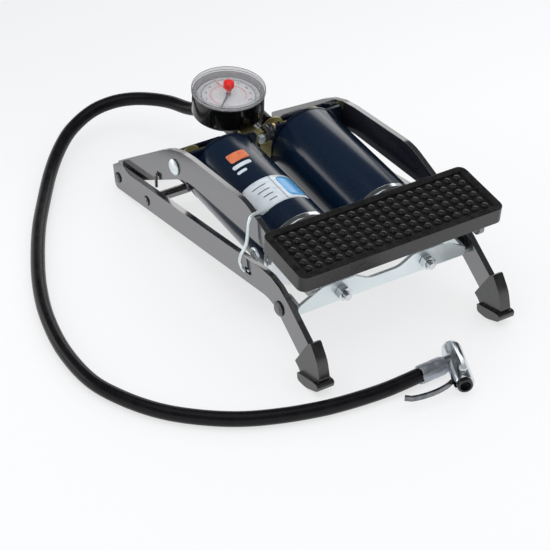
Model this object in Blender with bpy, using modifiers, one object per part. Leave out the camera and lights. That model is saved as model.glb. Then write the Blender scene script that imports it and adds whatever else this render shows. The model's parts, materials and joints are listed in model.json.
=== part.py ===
"""Twin-barrel foot air pump, folded and latched, standing on its feet and on its rear corners.

Frame: X across the pump, -Y towards the pedal, +Z up, the floor at Z = 0. Lengths are in metres.
Side outlines are given as (y, z, corner radius) in the plane across X.
"""
import math

import bmesh
import bpy
from mathutils import Euler, Matrix, Vector

# --- Driving dimensions ---------------------------------------------------------------------
GAP = 0.0003                    # clearance left between pieces that touch

BAR_OUT = 0.0798                # outer face of the base bars, from the middle
BAR_THICK = 0.0046
BAR_HEIGHT = 0.0201
BAR_SLOPE = math.radians(9.83)  # the bars rise towards the front
LEG_SLOPE = math.radians(32.8)  # the legs fall towards the feet
SHEET = 0.0014

ARM_OUT = 0.0732                # outer face of the pedal arms, from the middle
ARM_THICK = 0.0042

AXLE = Vector((0, 0.1455, 0.0106))           # rear axle, about which the pedal frame lifts
BARREL_PIVOT = Vector((0, 0.0642, 0.0649))   # the barrels swing here, between the arms
LEG_PIVOT = Vector((0, -0.0958, 0.0393))     # the crossbar swings here, between the legs
CROSS_ROD = Vector((0, 0.0990, 0.0158))
HOOK_SLOT = Vector((0, -0.0530, 0.0449))
HOOK_PIVOT = Vector((0, -0.0505, 0.0905))
SPRING_HOLE = Vector((0, 0.0910, 0.0433))

AXLE_R = 0.0038
BARREL_PIVOT_R = 0.0031
BARREL_TILT = math.radians(3.5)  # the barrels slope down towards the front
BARREL_R = 0.030
BORE_R = 0.0282
BARREL_X = 0.03585               # barrel axes, from the middle
BARREL_Z = -0.00805              # barrel axes, from the pivot, square to the barrels
BARREL_REAR = -0.0108            # rear end of the barrels, along the barrels from the pivot
BARREL_LENGTH = 0.106
CAP_LENGTH = 0.008
ROD_R = 0.004
STUD_R = 0.0029
PISTON_LENGTH = 0.012
PISTON_REAR = -0.0208
CROSSBAR_FRONT = -0.1730
CROSSBAR_THICK = 0.0025
CROSSBAR_HALF = 0.0715

PEDAL_SIZE = (0.1702, 0.0541, 0.0125)
PEDAL_TILT = math.radians(5.7)
PEDAL_TOP = Vector((0, -0.1060, 0.0921))     # middle of the pedal's top face

GAUGE = Vector((-0.0101, 0.0299, 0.0097))    # foot of the gauge case, in the barrels' frame
GAUGE_R = 0.0285
GAUGE_HEIGHT = 0.0240

HOSE_R = 0.0055
HOSE_Z = 0.0056                  # height of the hose's middle where it lies on the floor
UNION_X = 0.0184
CHUCK_AXIS = 0.0078                          # height of the chuck's axis above the floor
CHUCK_HEAD = Vector((0.0147, -0.1818, CHUCK_AXIS))
CHUCK_TURN = math.radians(-21.5)             # the chuck's head points forward and to the left
LEVER_PIVOT = 0.0126                         # from the middle of the chuck's head to the lever pin
LEVER_HEIGHT = 0.0038
SLEEVE_R = 0.0062


# --- Scene, collections and materials -------------------------------------------------------
def clear_scene():
    for old in list(bpy.data.objects):
        bpy.data.objects.remove(old, do_unlink=True)


def new_collection(name):
    group = bpy.data.collections.new(name)
    bpy.context.scene.collection.children.link(group)
    return group


clear_scene()
PARTS = new_collection("foot_air_pump")
CUTTERS = new_collection("cutters")


def material(name, colour, metallic=0.0, roughness=0.4):
    mat = bpy.data.materials.new(name)
    mat.use_nodes = True
    shader = mat.node_tree.nodes["Principled BSDF"]
    shader.inputs["Base Color"].default_value = (*colour, 1)
    shader.inputs["Metallic"].default_value = metallic
    shader.inputs["Roughness"].default_value = roughness
    mat.diffuse_color = (*colour, 1)
    return mat


BLACK_PAINT = material("black_paint", (0.03, 0.03, 0.04), 0.3, 0.2)
NAVY_PAINT = material("navy_paint", (0.01, 0.02, 0.05), 0.4, 0.2)
ZINC = material("zinc_plate", (0.75, 0.80, 0.83), 1.0, 0.3)
YELLOW_ZINC = material("yellow_zinc", (0.45, 0.38, 0.14), 1.0, 0.4)
CHROME = material("chrome", (0.85, 0.86, 0.88), 1.0, 0.08)
STEEL = material("dark_steel", (0.05, 0.05, 0.06), 0.9, 0.35)
RUBBER = material("black_rubber", (0.02, 0.02, 0.02), 0.0, 0.6)
BLACK_PLASTIC = material("black_plastic", (0.015, 0.015, 0.015), 0.0, 0.25)
WHITE = material("dial_white", (0.85, 0.85, 0.84), 0.0, 0.6)
CLEAR = material("clear_plastic", (0.9, 0.9, 0.9), 0.0, 0.1)
RED = material("red_plastic", (0.8, 0.03, 0.02), 0.0, 0.35)
BRASS = material("brass", (0.65, 0.48, 0.20), 1.0, 0.3)
SEAL = material("piston_rubber", (0.03, 0.03, 0.03), 0.0, 0.7)


# --- Modelling tools ------------------------------------------------------------------------
def in_collection(obj, group):
    for owner in list(obj.users_collection):
        owner.objects.unlink(obj)
    group.objects.link(obj)


def finish(obj, name, mat, group=PARTS):
    obj.name = name
    obj.data.name = name
    obj.data.materials.clear()
    obj.data.materials.append(mat)
    in_collection(obj, group)
    return obj


def rounded(corners, step=math.radians(14)):
    """The points of a closed outline whose corners (u, v, radius) are rounded by arcs."""
    points = []
    count = len(corners)
    for i, (u, v, radius) in enumerate(corners):
        here = Vector((u, v))
        before = (Vector(corners[i - 1][:2]) - here).normalized()
        after = (Vector(corners[(i + 1) % count][:2]) - here).normalized()
        if radius == 0:
            points.append(here)
            continue
        half = before.angle(after) / 2
        centre = here + (before + after).normalized() * (radius / math.sin(half))
        start = here + before * (radius / math.tan(half)) - centre
        end = here + after * (radius / math.tan(half)) - centre
        turn = start.angle_signed(end)
        pieces = max(2, round(abs(turn) / step))
        for k in range(pieces + 1):
            angle = -turn * k / pieces
            points.append(centre + Matrix.Rotation(angle, 2) @ start)
    return points


def circle(u, v, radius, count=20):
    angles = [2 * math.pi * k / count for k in range(count)]
    return [Vector((u + radius * math.cos(a), v + radius * math.sin(a))) for a in angles]


# Each matrix lays a flat outline's plane across one axis: (u, v) is (y, z), (x, z) or (x, y).
ACROSS_X = Matrix(((0, 0, 1), (1, 0, 0), (0, 1, 0)))
ACROSS_Y = Matrix(((1, 0, 0), (0, 0, -1), (0, 1, 0)))
ACROSS_Z = Matrix.Identity(3)


def plate(name, loops, thickness, middle, mat, across=ACROSS_X, group=PARTS):
    """A flat plate: the first loop is its outline, the others are holes through it."""
    data = bpy.data.curves.new(name, "CURVE")
    data.dimensions = "2D"
    data.fill_mode = "BOTH"
    data.extrude = thickness / 2
    for loop in loops:
        spline = data.splines.new("POLY")
        spline.points.add(len(loop) - 1)
        for point, (u, v) in zip(spline.points, loop):
            point.co = (u, v, 0, 1)
        spline.use_cyclic_u = True
    guide = bpy.data.objects.new(name + "_outline", data)
    PARTS.objects.link(guide)
    mesh = bpy.data.meshes.new_from_object(guide.evaluated_get(bpy.context.evaluated_depsgraph_get()))
    bpy.data.objects.remove(guide, do_unlink=True)
    shape = bmesh.new()
    shape.from_mesh(mesh)
    bmesh.ops.remove_doubles(shape, verts=shape.verts, dist=0.00001)
    bmesh.ops.transform(shape, matrix=across.to_4x4(), verts=shape.verts)
    bmesh.ops.translate(shape, vec=middle, verts=shape.verts)
    bmesh.ops.recalc_face_normals(shape, faces=shape.faces)
    shape.to_mesh(mesh)
    shape.free()
    obj = bpy.data.objects.new(name, mesh)
    group.objects.link(obj)
    return finish(obj, name, mat, group)


def smooth(obj, angle=math.radians(35)):
    obj.data.shade_smooth()
    obj.data.set_sharp_from_angle(angle=angle)


def cylinder(name, radius, length, middle, axis, mat, sides=28, group=PARTS):
    bpy.ops.mesh.primitive_cylinder_add(vertices=sides, radius=radius, depth=length)
    obj = bpy.context.object
    turn = Vector((0, 0, 1)).rotation_difference(Vector(axis)).to_matrix().to_4x4()
    obj.data.transform(Matrix.Translation(middle) @ turn)
    smooth(obj)
    return finish(obj, name, mat, group)


def box(name, size, middle, mat, turn=(0, 0, 0), group=PARTS):
    bpy.ops.mesh.primitive_cube_add(size=1)
    obj = bpy.context.object
    place = Matrix.Translation(middle) @ Euler(turn).to_matrix().to_4x4()
    obj.data.transform(place @ Matrix.Diagonal((*size, 1)))
    return finish(obj, name, mat, group)


FORWARD = Euler((math.radians(90), 0, 0))     # a turned piece's own Z axis points to -Y
TO_RIGHT = Euler((0, math.radians(90), 0))    # a turned piece's own Z axis points to +X
UPRIGHT = Euler((0, 0, 0))


def turned(name, profile, middle, turn, mat, ring=False, steps=28, group=PARTS):
    """A turned piece: the profile (radius, height) runs down its outer side, from the top."""
    mesh = bpy.data.meshes.new(name)
    edges = [(i, i + 1) for i in range(len(profile) - 1)]
    if ring:
        edges.append((len(profile) - 1, 0))
    mesh.from_pydata([(r, 0, z) for r, z in profile], edges, [])
    obj = bpy.data.objects.new(name, mesh)
    group.objects.link(obj)
    obj.location = middle
    obj.rotation_euler = turn
    screw = obj.modifiers.new("turn", "SCREW")
    screw.steps = steps
    screw.render_steps = steps
    screw.use_merge_vertices = True
    screw.merge_threshold = 0.00001
    screw.use_smooth_shade = True
    return finish(obj, name, mat, group)


def wire(name, points, radius, mat, sides=2, group=PARTS):
    """A round wire or tube along the points, with closed ends."""
    data = bpy.data.curves.new(name, "CURVE")
    data.dimensions = "3D"
    data.bevel_depth = radius
    data.bevel_resolution = sides
    data.use_fill_caps = True
    spline = data.splines.new("POLY")
    spline.points.add(len(points) - 1)
    for point, place in zip(spline.points, points):
        point.co = (*place, 1)
    obj = bpy.data.objects.new(name, data)
    group.objects.link(obj)
    return finish(obj, name, mat, group)


def smooth_route(knots, spacing):
    """Points about a spacing apart along a smooth curve through the knots."""
    knots = [Vector(k) for k in knots]
    ends = [2 * knots[0] - knots[1], *knots, 2 * knots[-1] - knots[-2]]
    route = []
    for i in range(1, len(ends) - 2):
        a, b, c, d = ends[i - 1:i + 3]
        pieces = max(1, round((c - b).length / spacing))
        for k in range(pieces):
            t = k / pieces
            route.append(0.5 * (2 * b + (c - a) * t + (2 * a - 5 * b + 4 * c - d) * t * t
                                + (3 * b - a - 3 * c + d) * t ** 3))
    route.append(knots[-1])
    return route


def combine(target, tool, operation):
    """Joins the tool to the target, or cuts it out, and keeps the tool as a hidden cutter."""
    in_collection(tool, CUTTERS)
    tool.hide_render = True
    tool.display_type = "WIRE"
    change = target.modifiers.new(operation.lower(), "BOOLEAN")
    change.operation = operation
    change.solver = "EXACT"
    change.object = tool


def join(target, *tools):
    for tool in tools:
        combine(target, tool, "UNION")


def cut(target, *tools):
    for tool in tools:
        combine(target, tool, "DIFFERENCE")


def pivot(name, place, parent=None, tilt=0.0):
    """An empty on a joint's axis, which carries the pieces that the joint moves."""
    empty = bpy.data.objects.new(name, None)
    empty.empty_display_size = 0.01
    empty.location = place
    empty.rotation_euler = (tilt, 0, 0)
    PARTS.objects.link(empty)
    if parent:
        hold(parent, empty)
    bpy.context.view_layer.update()
    return empty


def with_tools(pieces):
    """The pieces and every cutter that shapes them."""
    found = list(pieces)
    for piece in found:
        found += [change.object for change in piece.modifiers if change.type == "BOOLEAN"]
    return found


def hold(parent, *pieces):
    """Parents pieces that are built in world coordinates."""
    bpy.context.view_layer.update()
    for piece in with_tools(pieces):
        piece.parent = parent
        piece.matrix_parent_inverse = parent.matrix_world.inverted()


def carry(parent, *pieces):
    """Parents pieces that are built in the parent's own coordinates."""
    for piece in with_tools(pieces):
        piece.parent = parent


def with_x(point, x):
    return Vector((x, point.y, point.z))


# --- Base frame -----------------------------------------------------------------------------
def bar_line(offset, y):
    """Height at y of a line that runs along the straight bar, offset square to it."""
    middle_y, middle_z = 0.131, 0.0130
    return middle_z + (middle_y - y) * math.tan(BAR_SLOPE) + offset / math.cos(BAR_SLOPE)


def leg_line(offset, y):
    """Height at y of a line that runs along the leg, offset square to it."""
    middle_y, middle_z = -0.1083, 0.0378
    return middle_z + (y - middle_y) * math.tan(LEG_SLOPE) + offset / math.cos(LEG_SLOPE)


def bend_y(offset):
    """Where the straight bar's offset line meets the leg's."""
    fall = math.tan(BAR_SLOPE) + math.tan(LEG_SLOPE)
    return -(leg_line(offset, 0) - bar_line(offset, 0)) / fall


def bar_outline(upper, lower, rear=0.1540, front=-0.1455, corner=0.0045):
    """Side outline of a base bar between two offsets from its middle line."""
    lean = math.sin(BAR_SLOPE) * BAR_HEIGHT
    step = math.sin(LEG_SLOPE) * BAR_HEIGHT
    corners = [
        (rear, bar_line(upper, rear), 0.002),
        (bend_y(upper), bar_line(upper, bend_y(upper)), 0.046),
        (front, leg_line(upper, front), 0.002),
        (front + step, leg_line(lower, front + step), 0.002),
        (bend_y(lower), bar_line(lower, bend_y(lower)), 0.028),
        (rear - lean, bar_line(lower, rear - lean), corner),
    ]
    return rounded(corners)


def oblong(centre, length, height, slope):
    """An oblong hole's outline, leaning with the bar."""
    turn = Matrix.Rotation(-slope, 2)
    corners = []
    for u, v in ((1, 1), (-1, 1), (-1, -1), (1, -1)):
        corner = turn @ Vector((u * length / 2, v * height / 2))
        corners.append((centre.y + corner.x, centre.z + corner.y, height * 0.48))
    return rounded(corners, math.radians(30))


def base_bar(side, sign):
    """A folded sheet-steel bar, open below, with holes for the axle, the rod and the rivet."""
    middle = (sign * (BAR_OUT - BAR_THICK / 2), 0, 0)
    holes = [
        circle(AXLE.y, AXLE.z, AXLE_R + GAP, 16),
        circle(CROSS_ROD.y, CROSS_ROD.z, 0.0026 + GAP, 12),
        circle(LEG_PIVOT.y, LEG_PIVOT.z, 0.0030 + GAP, 12),
    ]
    if side == "left":
        holes.append(oblong(HOOK_SLOT, 0.0095, 0.0050, BAR_SLOPE))
    half = BAR_HEIGHT / 2
    bar = plate("base_bar_" + side, [bar_outline(half, -half), *holes], BAR_THICK, middle, BLACK_PAINT)
    groove = bar_outline(half - SHEET, -half - 0.004, rear=0.1600, front=-0.1520)
    hollow = plate("groove_" + side, [groove], BAR_THICK - 2 * SHEET, middle, BLACK_PAINT)
    cut(bar, hollow)
    return bar


def foot(side, sign):
    """A moulded plastic shoe with a wide, slightly rockered sole, pushed over the leg's end."""
    middle = (sign * (BAR_OUT - BAR_THICK / 2), 0, 0)
    body = rounded([
        (-0.1205, 0.0105, 0.0008), (-0.1255, 0.0075, 0.004), (-0.1290, 0.0030, 0.001),
        (-0.1500, 0.0075, 0.002), (-0.1525, 0.0145, 0.004), (-0.1490, 0.0270, 0.020),
        (-0.1400, 0.0385, 0.0015), (-0.1365, 0.0362, 0.001),
    ])
    sole = rounded([
        (-0.1275, 0.0062, 0.0012), (-0.1285, 0.0, 0.0022), (-0.1390, 0.0, 0.020),
        (-0.1535, 0.0060, 0.0020), (-0.1548, 0.0118, 0.0020), (-0.1480, 0.0112, 0.006),
    ])
    shoe = plate("foot_" + side, [body], 0.0086, middle, BLACK_PLASTIC)
    pad = plate("sole_" + side, [sole], 0.0140, middle, BLACK_PLASTIC)
    half = BAR_HEIGHT / 2 + GAP
    pocket = bar_outline(half, -half, front=-0.1460)
    socket = plate("socket_" + side, [pocket], BAR_THICK + 2 * GAP, middle, BLACK_PLASTIC)
    join(shoe, pad)
    cut(shoe, socket)
    return shoe


def headed_pin(name, place, half, head_r, head_h, body_r, neck_r=None, neck=0.0, mat=STEEL):
    """A pin across the pump, with a head outside each bar and thinner ends through the bars."""
    neck_r = neck_r or body_r
    end = half + head_h
    right = [(0, end), (head_r * 0.7, end), (head_r, end - head_h * 0.5), (head_r, half), (neck_r, half)]
    if neck:
        right += [(neck_r, half - neck), (body_r, half - neck)]
    left = [(r, -z) for r, z in reversed(right)]
    return turned(name, right + left, place, TO_RIGHT, mat, steps=16)


def leg_rivet(side, sign):
    """The rivet on which the crossbar swings: its head shows on the leg's outer face."""
    outer = BAR_OUT + GAP
    profile = [(0, 0.0020), (0.0036, 0.0020), (0.0058, 0.0008), (0.0058, 0),
               (0.0030, 0), (0.0030, -0.0075), (0, -0.0075)]
    turn = Euler((0, sign * math.radians(90), 0))
    rivet = turned("leg_rivet_" + side, profile, with_x(LEG_PIVOT, sign * outer), turn, STEEL, steps=20)
    inner = BAR_OUT - BAR_THICK
    width = inner - CROSSBAR_HALF - 2 * GAP - 0.0001
    ring = [(0.0062, width / 2), (0.0062, -width / 2), (0.0034, -width / 2), (0.0034, width / 2)]
    middle = sign * (inner - GAP - width / 2)
    turned("crossbar_spacer_" + side, ring, with_x(LEG_PIVOT, middle), TO_RIGHT, BLACK_PLASTIC,
           ring=True, steps=20)
    return rivet


def hook_eye():
    """The wire eye held in the left bar's slot, with its ring standing behind the bar."""
    ring_y, ring_z, ring_r, x = -0.0500, 0.0545, 0.0048, -0.0722
    route = [(-0.0795, -0.0525, 0.0446), (-0.0765, -0.0528, 0.0446), (-0.0735, -0.0532, 0.0452)]
    for k in range(10):
        angle = math.radians(-115 + 32 * k)
        route.append((x, ring_y + ring_r * math.cos(angle), ring_z + ring_r * math.sin(angle)))
    return wire("hook_eye", route, 0.0011, ZINC)


def base_frame():
    for side, sign in (("left", -1), ("right", 1)):
        base_bar(side, sign)
        foot(side, sign)
        leg_rivet(side, sign)
    headed_pin("rear_axle", AXLE, BAR_OUT + GAP, 0.0044, 0.0014, AXLE_R)
    inner = BAR_THICK + 2 * GAP
    headed_pin("base_cross_rod", CROSS_ROD, BAR_OUT + GAP, 0.0042, 0.0014, 0.0040, 0.0026, inner,
               BLACK_PAINT)
    hook_eye()


# --- Pedal frame ----------------------------------------------------------------------------
def pedal_arm(side, sign):
    """An arched arm from the rear axle to the pedal."""
    outline = rounded([
        (0.1574, 0.0175, 0.002), (0.0630, 0.0835, 0.090), (-0.0360, 0.0930, 0.045),
        (-0.0780, 0.0792, 0.008), (-0.1260, 0.0744, 0.004), (-0.1260, 0.0640, 0.006),
        (-0.0700, 0.0685, 0.060), (0.0490, 0.0625, 0.060), (0.1510, 0.0020, 0.007),
        (0.1574, 0.0080, 0.005),
    ], math.radians(9))
    holes = [
        circle(AXLE.y, AXLE.z, AXLE_R + GAP, 16),
        circle(BARREL_PIVOT.y, BARREL_PIVOT.z, BARREL_PIVOT_R + GAP, 12),
        circle(SPRING_HOLE.y, SPRING_HOLE.z, 0.0021, 10),
    ]
    middle = (sign * (ARM_OUT - ARM_THICK / 2), 0, 0)
    arm = plate("pedal_arm_" + side, [outline, *holes], ARM_THICK, middle, BLACK_PAINT)
    return arm


def pedal_place(down, x=0.0, along=0.0):
    """A point below the pedal's top face, square to it."""
    normal = Vector((0, -math.sin(PEDAL_TILT), math.cos(PEDAL_TILT)))
    rear = Vector((0, math.cos(PEDAL_TILT), math.sin(PEDAL_TILT)))
    return PEDAL_TOP - normal * down + rear * along + Vector((x, 0, 0))


def pedal_screw_places():
    return [(x, along) for x in (-0.0560, 0.0560) for along in (-0.0140, 0.0140)]


def pedal():
    """The steel plate across the arms, the rubber pad on it and the screws from below."""
    width, depth, height = PEDAL_SIZE
    tilt = (PEDAL_TILT, 0, 0)
    pad_outline = rounded([(sx * width / 2, sy * depth / 2, 0.006)
                           for sx, sy in ((1, 1), (-1, 1), (-1, -1), (1, -1))], math.radians(18))
    pad = plate("pedal_pad", [pad_outline], height, (0, 0, 0), RUBBER, ACROSS_Z)
    pad.data.transform(Matrix.Translation(pedal_place(height / 2)) @ Euler(tilt).to_matrix().to_4x4())
    recess = box("pad_recess", (width - 0.0110, depth - 0.0110, 0.0024), PEDAL_TOP, RUBBER, tilt)
    cut(pad, recess)
    thick = 0.0020
    middle = height + GAP + thick / 2
    under = box("pedal_plate", (0.152, 0.048, thick), pedal_place(middle), BLACK_PAINT, tilt)
    pieces = [pad, under]
    for number, (x, along) in enumerate(pedal_screw_places(), 1):
        below = height + GAP + thick
        hole = cylinder(f"screw_hole_{number}", 0.0022, 0.020, pedal_place(below, x, along),
                        pedal_place(0) - pedal_place(1), RUBBER, 12)
        blind = cylinder(f"screw_blind_{number}", 0.0022, 0.012, pedal_place(height, x, along),
                         pedal_place(0) - pedal_place(1), RUBBER, 12)
        cut(under, hole)
        cut(pad, blind)
        profile = [(0, 0.0070), (0.0019, 0.0070), (0.0019, -GAP), (0.0040, -GAP), (0.0034, -0.0022),
                   (0, -0.0022)]
        screw = turned(f"pedal_screw_{number}", profile, pedal_place(below, x, along),
                       Euler(tilt), ZINC, steps=12)
        pieces.append(screw)
    return pieces


def pivot_shaft():
    """The shaft across the arms on which the barrels swing, with a bright head at each end."""
    half = ARM_OUT + GAP
    right = [(0, half + 0.0030), (0.0030, half + 0.0028), (0.0056, half + 0.0019), (0.0066, half + 0.0008),
             (0.0066, half), (BARREL_PIVOT_R, half)]
    left = [(r, -z) for r, z in reversed(right)]
    return turned("barrel_pivot_shaft", right + left, BARREL_PIVOT, TO_RIGHT, ZINC, steps=20)


def coil(centre, radius, ends_x, first_angle, last_angle, per_turn=10):
    """A coil about an axis along X; its angles run from the front over the top to the rear."""
    count = round((last_angle - first_angle) / 360 * per_turn)
    points = []
    for k in range(count + 1):
        angle = math.radians(first_angle + (last_angle - first_angle) * k / count)
        x = ends_x[0] + (ends_x[1] - ends_x[0]) * k / count
        points.append((x, centre.y - radius * math.cos(angle), centre.z + radius * math.sin(angle)))
    return points


def return_spring(side, sign):
    """A torsion spring round the axle: one leg hooks the arm, the other bears on the rod."""
    inner, outer = sign * 0.0460, sign * 0.0630
    turns = coil(AXLE, 0.0072, (inner, outer), 104, 2120)
    rod_leg = [(inner, CROSS_ROD.y - 0.004, CROSS_ROD.z + 0.0058)]
    arm_leg = [
        (sign * 0.0655, SPRING_HOLE.y + 0.008, SPRING_HOLE.z - 0.004),
        (sign * 0.0670, SPRING_HOLE.y, SPRING_HOLE.z),
        (sign * 0.0744, SPRING_HOLE.y, SPRING_HOLE.z),
        (sign * 0.0751, SPRING_HOLE.y, SPRING_HOLE.z - 0.0012),
        (sign * 0.0752, SPRING_HOLE.y - 0.0005, SPRING_HOLE.z - 0.0110),
    ]
    return wire("return_spring_" + side, rod_leg + turns + arm_leg, 0.0012, STEEL, 1)


def pivot_spring():
    """The torsion spring round the barrels' shaft, which hangs a little low on it."""
    centre = BARREL_PIVOT + Vector((0, 0.0003, 0.0020))
    turns = coil(centre, 0.0073, (0.0036, 0.0124), 180, 1620)
    first, last = Vector(turns[0]), Vector(turns[-1])
    front_leg = first + Vector((0, 0, -0.0080))
    rear_leg = last + Vector((0, 0, -0.0080))
    return wire("pivot_spring", [front_leg, *turns, rear_leg], 0.0011, STEEL, 1)


def lock_hook(parent):
    """The wire hook that hangs over the left arm and reaches down to the bar's slot."""
    y, z = HOOK_PIVOT.y, HOOK_PIVOT.z
    knots = [
        (-0.0620, y, z), (-0.0680, y, z), (-0.0735, y, z), (-0.0764, y, z - 0.0020),
        (-0.0774, y + 0.0005, z - 0.0060), (-0.0790, y + 0.0010, z - 0.0240),
        (-0.0825, y + 0.0025, z - 0.0335), (-0.0832, y + 0.0030, z - 0.0395),
        (-0.0826, y + 0.0010, z - 0.0438), (-0.0816, y - 0.0022, z - 0.0455),
    ]
    hook = wire("lock_hook", smooth_route(knots, 0.004), 0.0013, ZINC)
    hold(parent, hook)


def hose_union():
    """The swivelling union on the barrels' shaft, whose tail points back into the hose."""
    half = 0.0042
    ring = [(0.0068, half), (0.0068, -half), (0.0034, -half), (0.0034, half)]
    union = turned("hose_union", ring, with_x(BARREL_PIVOT, UNION_X), TO_RIGHT, BRASS, ring=True, steps=24)
    tail = cylinder("union_tail", 0.0032, 0.0110, with_x(BARREL_PIVOT, UNION_X) + Vector((0, 0.0111, 0)),
                    (0, 1, 0), BRASS, 20)
    join(union, tail)
    return union


def pedal_frame():
    lift = pivot("pedal_lift_axis", AXLE)
    pieces = []
    for side, sign in (("left", -1), ("right", 1)):
        pieces.append(pedal_arm(side, sign))
        pieces.append(return_spring(side, sign))
    pieces += pedal()
    pieces += [pivot_shaft(), pivot_spring(), hose_union()]
    hold(lift, *pieces)
    lock_hook(pivot("hook_axis", HOOK_PIVOT, lift))
    return lift


# --- Barrels, in a frame whose origin is their pivot and whose Y axis runs along them ---------
def barrel(side, sign, parent):
    x = sign * BARREL_X
    wall = [(BARREL_R, BARREL_LENGTH), (BARREL_R, 0), (BORE_R, 0), (BORE_R, BARREL_LENGTH)]
    tube = turned("barrel_" + side, wall, (x, BARREL_REAR, BARREL_Z), FORWARD, NAVY_PAINT, True, 40)
    head = [(0, 0.0070), (0.0200, 0.0070), (BORE_R - GAP, 0.0060), (BORE_R - GAP, GAP), (0, GAP)]
    plug = turned("barrel_head_" + side, head, (x, BARREL_REAR, BARREL_Z), FORWARD, ZINC)
    bush = ROD_R + GAP
    cap = [(BARREL_R - 0.0022, CAP_LENGTH), (BARREL_R + 0.0006, CAP_LENGTH - 0.0030),
           (BARREL_R + 0.0006, GAP), (BORE_R - GAP, GAP), (BORE_R - GAP, -0.0045), (bush, -0.0045),
           (bush, CAP_LENGTH - 0.0010), (0.0110, CAP_LENGTH - 0.0010), (0.0140, CAP_LENGTH)]
    end = turned("front_cap_" + side, cap, (x, BARREL_REAR - BARREL_LENGTH, BARREL_Z), FORWARD, CHROME,
                 True, 32)
    valve = cylinder("check_valve_" + side, 0.0050, 0.0050, (x, -0.0053, BARREL_Z), (0, 1, 0), BRASS, 20)
    carry(parent, tube, plug, end, valve)


def bracket(parent):
    """The folded end plate behind the barrels, with ears that swing on the shaft."""
    half = ARM_OUT - ARM_THICK - 0.0004
    wall_y = BARREL_REAR + GAP + 0.0011
    top = 0.0162
    end = half - 0.0011
    low, deep = -0.0180, -0.0122
    wall_corners = [(end, low, 0), (end, top, 0.002), (0.0090, top, 0.001), (0.0090, deep, 0),
                    (-0.0090, deep, 0), (-0.0090, top, 0.001), (-end, top, 0.002), (-end, low, 0)]
    wall = plate("barrel_bracket", [rounded(wall_corners, math.radians(30))], 0.0022, (0, wall_y, 0),
                 NAVY_PAINT, ACROSS_Y)
    for sign in (-1, 1):
        middle = (sign * BARREL_X, wall_y, BARREL_Z)
        disc = cylinder(f"bracket_disc_{sign}", BARREL_R + 0.0003, 0.0020, middle, (0, 1, 0), NAVY_PAINT, 40)
        ear_corners = [(wall_y, -0.0120, 0), (0.0162, -0.0120, 0.002), (0.0162, 0.0020, 0.002),
                       (0.0040, 0.0090, 0.005), (wall_y, 0.0090, 0)]
        outlines = [rounded(ear_corners), circle(0, 0, BARREL_PIVOT_R + GAP, 12)]
        ear = plate(f"bracket_ear_{sign}", outlines, 0.0022, (sign * (half - 0.0011), 0, 0), NAVY_PAINT)
        back = box(f"bracket_back_{sign}", (half - 0.0254, 0.0022, 0.0138),
                   (sign * (half + 0.0254) / 2, 0.0150, -0.0050), NAVY_PAINT)
        join(wall, disc, ear, back)
    carry(parent, wall)


def valve_plate(parent):
    """The yellow zinc plate behind the end plate, with half-round lugs along its top."""
    top, low, right = 0.0010, -0.0160, UNION_X + 0.0066
    left = UNION_X - 0.0066
    corners = [(0.0620, low, 0.002), (0.0620, top, 0.002), (-0.0620, top, 0.002), (-0.0620, low, 0.002),
               (left, low, 0.001), (left, -0.0030, 0), (right, -0.0030, 0), (right, low, 0.001)]
    sheet = plate("valve_plate", [rounded(corners, math.radians(30))], 0.0016, (0, 0.0099, 0), YELLOW_ZINC,
                  ACROSS_Y)
    for x, radius in ((-0.0540, 0.0078), (UNION_X, 0.0098), (0.0540, 0.0078)):
        lug = cylinder("valve_plate_lug", radius, 0.0014, (x, 0.0099, -0.0012), (0, 1, 0), YELLOW_ZINC, 20)
        join(sheet, lug)
    window = box("valve_window", (0.0096, 0.0060, 0.0086), (-0.0092, 0.0095, -0.0020), YELLOW_ZINC)
    path = box("union_path", (0.0132, 0.0060, 0.0200), (UNION_X, 0.0099, -0.0064), YELLOW_ZINC)
    cut(sheet, window, path)
    carry(parent, sheet)


def valve_block(parent):
    """The block that gathers the air of both barrels and feeds the gauge."""
    block = box("valve_block", (0.0130, 0.0162, 0.0252), (-0.0075, 0.0001, -0.0034), YELLOW_ZINC)
    boss = box("block_boss", (0.0090, 0.0050, 0.0080), (-0.0055, -0.0055, 0.0090), YELLOW_ZINC)
    arm = box("gauge_arm", (0.0090, 0.0317, 0.0080), (-0.0092, 0.0209, -0.0020), YELLOW_ZINC)
    neck = box("front_neck", (0.0040, 0.0030, 0.0120), (-0.0030, -0.0090, -0.0040), YELLOW_ZINC)
    face = box("front_face", (0.0102, 0.0016, 0.0152), (0, -0.0095, -0.0041), YELLOW_ZINC)
    bore = cylinder("block_bore", BARREL_PIVOT_R + GAP, 0.0300, (-0.0075, 0, 0), (1, 0, 0), YELLOW_ZINC, 16)
    duct = cylinder("pipe_bore", 0.0017 + GAP, 0.0300, (-0.0075, -0.0040, -0.0104), (1, 0, 0), YELLOW_ZINC,
                    12)
    join(block, boss, arm, neck, face)
    cut(block, bore, duct)
    hexagon = [Vector((-0.0047, 0.0088)) + 0.0036 * Vector((math.cos(a), math.sin(a)))
               for a in (math.radians(60 * k) for k in range(6))]
    bolt = plate("bracket_bolt", [hexagon], 0.0042, (0, -0.0104, 0), ZINC, ACROSS_Y)
    pipe = cylinder("transfer_pipe", 0.0017, 0.0610, (0, -0.0040, -0.0104), (1, 0, 0), BRASS, 12)
    stem = [(0, 0.0033), (0.0040, 0.0033), (0.0040, -0.0030), (0.0058, -0.0030), (0.0058, -0.0074),
            (0, -0.0074)]
    post = turned("gauge_stem", stem, GAUGE, UPRIGHT, ZINC, steps=12)
    carry(parent, block, bolt, pipe, post)


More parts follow.
